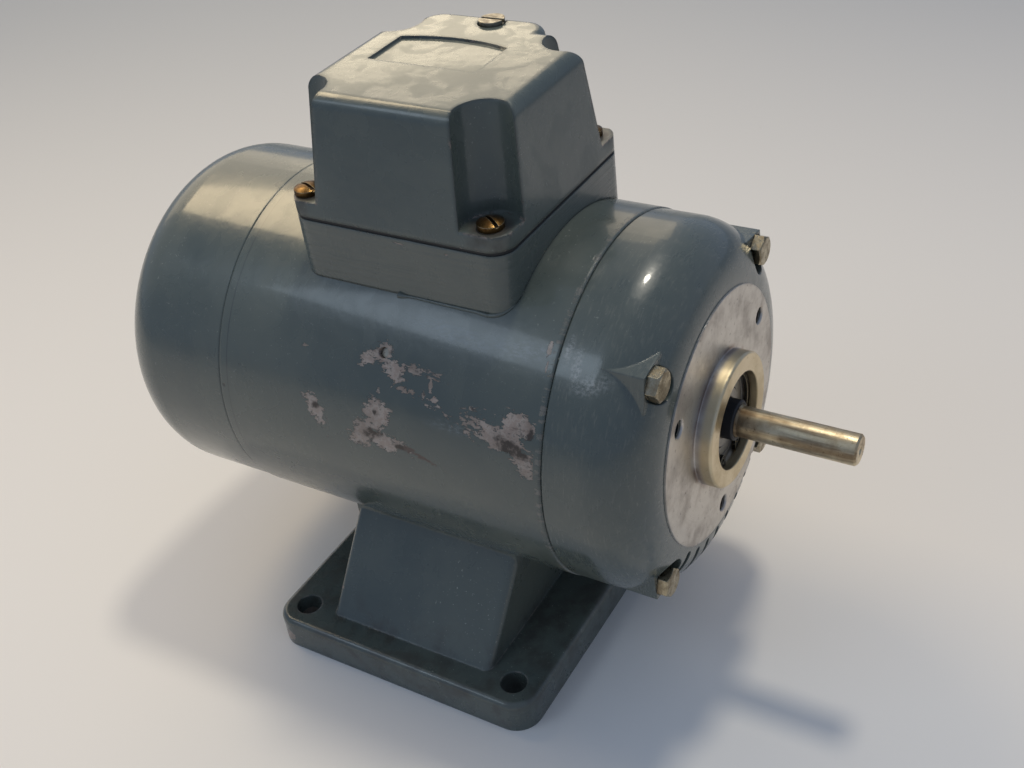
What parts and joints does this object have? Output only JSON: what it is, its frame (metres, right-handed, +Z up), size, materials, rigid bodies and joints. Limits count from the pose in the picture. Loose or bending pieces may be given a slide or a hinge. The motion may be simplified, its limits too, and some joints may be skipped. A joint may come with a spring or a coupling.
{
  "type": "electric motor",
  "caption": "Foot-mounted electric motor with a round enamelled housing, domed end shield with a machined flange face and spigot, plain drive shaft and a terminal box on top.",
  "frame": {"origin": "centre of the foot's underside, which is the centre of its four bolt holes", "axes": "+X along the shaft towards its drive end, +Z up"},
  "size_m": [0.2711, 0.164, 0.2208],
  "materials": {
    "blue_grey_enamel": "glossy blue-grey enamel, chipped in places",
    "cast_aluminium": "as cast",
    "yellow_zinc_steel": "yellow passivated zinc, worn",
    "dark_spring_steel": "dark oiled spring steel",
    "screw_brass": "dull brass with brown stains",
    "screw_steel": "bright zinc, dusty",
    "shaft_steel": "ground",
    "black_rubber": "matt",
    "core_steel": "stacked sheet",
    "varnished_copper": "varnished winding under tape",
    "lead_insulation": "sleeved lead",
    "bearing_steel": "ground and pressed steel",
    "fan_plastic": "moulded",
    "board_plastic": "moulded phenolic",
    "gland_plastic": "moulded"
  },
  "bodies": {
    "motor_frame": {"bearing_outer_rings": "bearing_steel", "bearing_preload_washer": "dark_spring_steel", "bearing_retaining_ring": "dark_spring_steel", "bearing_side_shields": "bearing_steel", "bolt_spring_washers": "dark_spring_steel", "box_base_screws": "screw_steel", "bracket_screws": "yellow_zinc_steel", "cable_gland": "gland_plastic", "cable_gland_seal": "black_rubber", "core_lock_screws": "dark_spring_steel", "cover_top_screw": "screw_steel", "earth_screw": "screw_brass", "foot_pedestal": "blue_grey_enamel", "foot_screws": "dark_spring_steel", "front_end_shield": "blue_grey_enamel", "rear_cover": "blue_grey_enamel", "rear_cover_screws": "screw_brass", "rear_end_bracket": "cast_aluminium", "shield_bolts": "yellow_zinc_steel", "stator_core": "core_steel", "stator_housing": "blue_grey_enamel", "stator_windings": "varnished_copper", "terminal_board": "board_plastic", "terminal_board_screws": "screw_steel", "terminal_box_base": "blue_grey_enamel", "terminal_box_cover": "blue_grey_enamel", "terminal_box_gasket": "black_rubber", "terminal_cover_screws": "screw_brass", "terminal_links": "screw_brass", "terminal_nuts": "screw_brass", "terminal_studs": "screw_brass", "winding_leads": "lead_insulation"},
    "rotor": {"rotor_shaft": "shaft_steel", "rotor_core": "core_steel", "rotor_cage": "cast_aluminium", "bearing_inner_rings": "bearing_steel", "shaft_collar": "black_rubber", "cooling_fan": "fan_plastic", "fan_clip": "dark_spring_steel"},
    "ball_cages": {"bearing_ball_cages": "bearing_steel"}
  },
  "joints": [
    {"name": "rotor_spin", "type": "hinge", "parent": "motor_frame", "child": "rotor", "pos_m": [0, 0, 0.102], "axis": [1, 0, 0], "continuous": true},
    {"name": "cage_spin", "type": "hinge", "parent": "motor_frame", "child": "ball_cages", "pos_m": [0, 0, 0.102], "axis": [1, 0, 0], "continuous": true}
  ],
  "couplings": [
    {"joint": "cage_spin", "follows": "rotor_spin", "ratio": 0.392}
  ]
}
